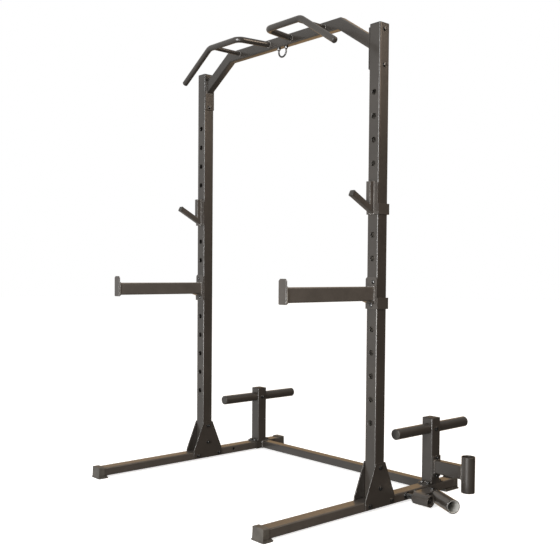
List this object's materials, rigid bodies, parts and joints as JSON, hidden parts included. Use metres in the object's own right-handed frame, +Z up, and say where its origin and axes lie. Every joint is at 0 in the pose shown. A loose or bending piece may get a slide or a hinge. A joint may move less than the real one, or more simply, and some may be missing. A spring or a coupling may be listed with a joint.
{
  "type": "half_rack_power_cage",
  "caption": "Half-rack power cage with a bent pull-up bar and angled handles, swinging J-hooks and spotter arms, plate pegs, an upright bar holder and a two-axis landmine.",
  "frame": {"origin": "centre of the bounding box on the floor", "axes": "+Z up, -Y to the rack's front where the hooks and spotter arms point, +X to the side with the bar holder and the landmine"},
  "size_m": [1.5472, 1.3056, 2.137],
  "materials": {
    "powder_coat": "satin textured powder coat, charcoal",
    "powder_coat_dark": "satin textured powder coat, darker charcoal",
    "black_plastic": "moulded, matte",
    "zinc_steel": "black zinc, semi-gloss",
    "grey_nylon": "moulded nylon, matte"
  },
  "bodies": {
    "rack": {"band_loop": "zinc_steel", "bar_holder": "powder_coat", "landmine_bolt": "zinc_steel", "landmine_spacer": "zinc_steel", "left_bar_end_plate": "powder_coat", "left_base_rail": "powder_coat", "left_front_foot_cap": "black_plastic", "left_handle_cap": "black_plastic", "left_inner_gusset": "powder_coat", "left_lower_bar_bolt": "zinc_steel", "left_lower_foot_bolt": "zinc_steel", "left_outer_gusset": "powder_coat", "left_peg_front_cap": "black_plastic", "left_peg_rear_cap": "black_plastic", "left_plate_peg": "powder_coat", "left_plate_post": "powder_coat", "left_post_cap": "black_plastic", "left_pullup_handle": "powder_coat", "left_rear_foot_cap": "black_plastic", "left_upper_bar_bolt": "zinc_steel", "left_upper_foot_bolt": "zinc_steel", "left_upright": "powder_coat", "left_upright_cap": "black_plastic", "pullup_crossbar": "powder_coat", "rear_cross_tube": "powder_coat", "right_bar_end_plate": "powder_coat", "right_base_rail": "powder_coat", "right_front_foot_cap": "black_plastic", "right_handle_cap": "black_plastic", "right_inner_gusset": "powder_coat", "right_lower_bar_bolt": "zinc_steel", "right_lower_foot_bolt": "zinc_steel", "right_outer_gusset": "powder_coat", "right_peg_front_cap": "black_plastic", "right_peg_rear_cap": "black_plastic", "right_plate_peg": "powder_coat", "right_plate_post": "powder_coat", "right_post_cap": "black_plastic", "right_pullup_handle": "powder_coat", "right_rear_foot_cap": "black_plastic", "right_upper_bar_bolt": "zinc_steel", "right_upper_foot_bolt": "zinc_steel", "right_upright": "powder_coat", "right_upright_cap": "black_plastic"},
    "left_j_hook": {"left_hook_bracket": "powder_coat_dark", "left_hook_horn": "powder_coat_dark", "left_horn_cap": "black_plastic"},
    "right_j_hook": {"right_hook_bracket": "powder_coat_dark", "right_hook_horn": "powder_coat_dark", "right_horn_cap": "black_plastic"},
    "left_spotter": {"left_spotter_bracket": "powder_coat_dark", "left_spotter_arm": "powder_coat_dark", "left_spotter_stop": "powder_coat_dark"},
    "right_spotter": {"right_spotter_bracket": "powder_coat_dark", "right_spotter_arm": "powder_coat_dark", "right_spotter_stop": "powder_coat_dark"},
    "landmine_knuckle": {"landmine_barrel": "powder_coat", "landmine_swivel_pin": "zinc_steel"},
    "landmine_sleeve_body": {"landmine_sleeve": "powder_coat", "landmine_sleeve_liner": "grey_nylon"}
  },
  "joints": [
    {"name": "left_j_hook_swing", "type": "hinge", "parent": "rack", "child": "left_j_hook", "pos_m": [-0.73149, 0.0075, 1.374], "axis": [0, 1, 0], "range_deg": [0, 90]},
    {"name": "right_j_hook_swing", "type": "hinge", "parent": "rack", "child": "right_j_hook", "pos_m": [0.48851, 0.0075, 1.374], "axis": [0, -1, 0], "range_deg": [0, 90]},
    {"name": "left_spotter_swing", "type": "hinge", "parent": "rack", "child": "left_spotter", "pos_m": [-0.73149, 0.0075, 0.974], "axis": [0, 1, 0], "range_deg": [0, 90]},
    {"name": "right_spotter_swing", "type": "hinge", "parent": "rack", "child": "right_spotter", "pos_m": [0.48851, 0.0075, 0.974], "axis": [0, -1, 0], "range_deg": [0, 90]},
    {"name": "landmine_tilt", "type": "hinge", "parent": "rack", "child": "landmine_knuckle", "pos_m": [0.56551, 0.1895, 0.033], "axis": [1, 0, 0], "range_deg": [0, 85]},
    {"name": "landmine_swivel", "type": "hinge", "parent": "landmine_knuckle", "child": "landmine_sleeve_body", "pos_m": [0.57851, 0.2955, 0.033], "axis": [0, 0, 1], "range_deg": [0, 45]}
  ]
}
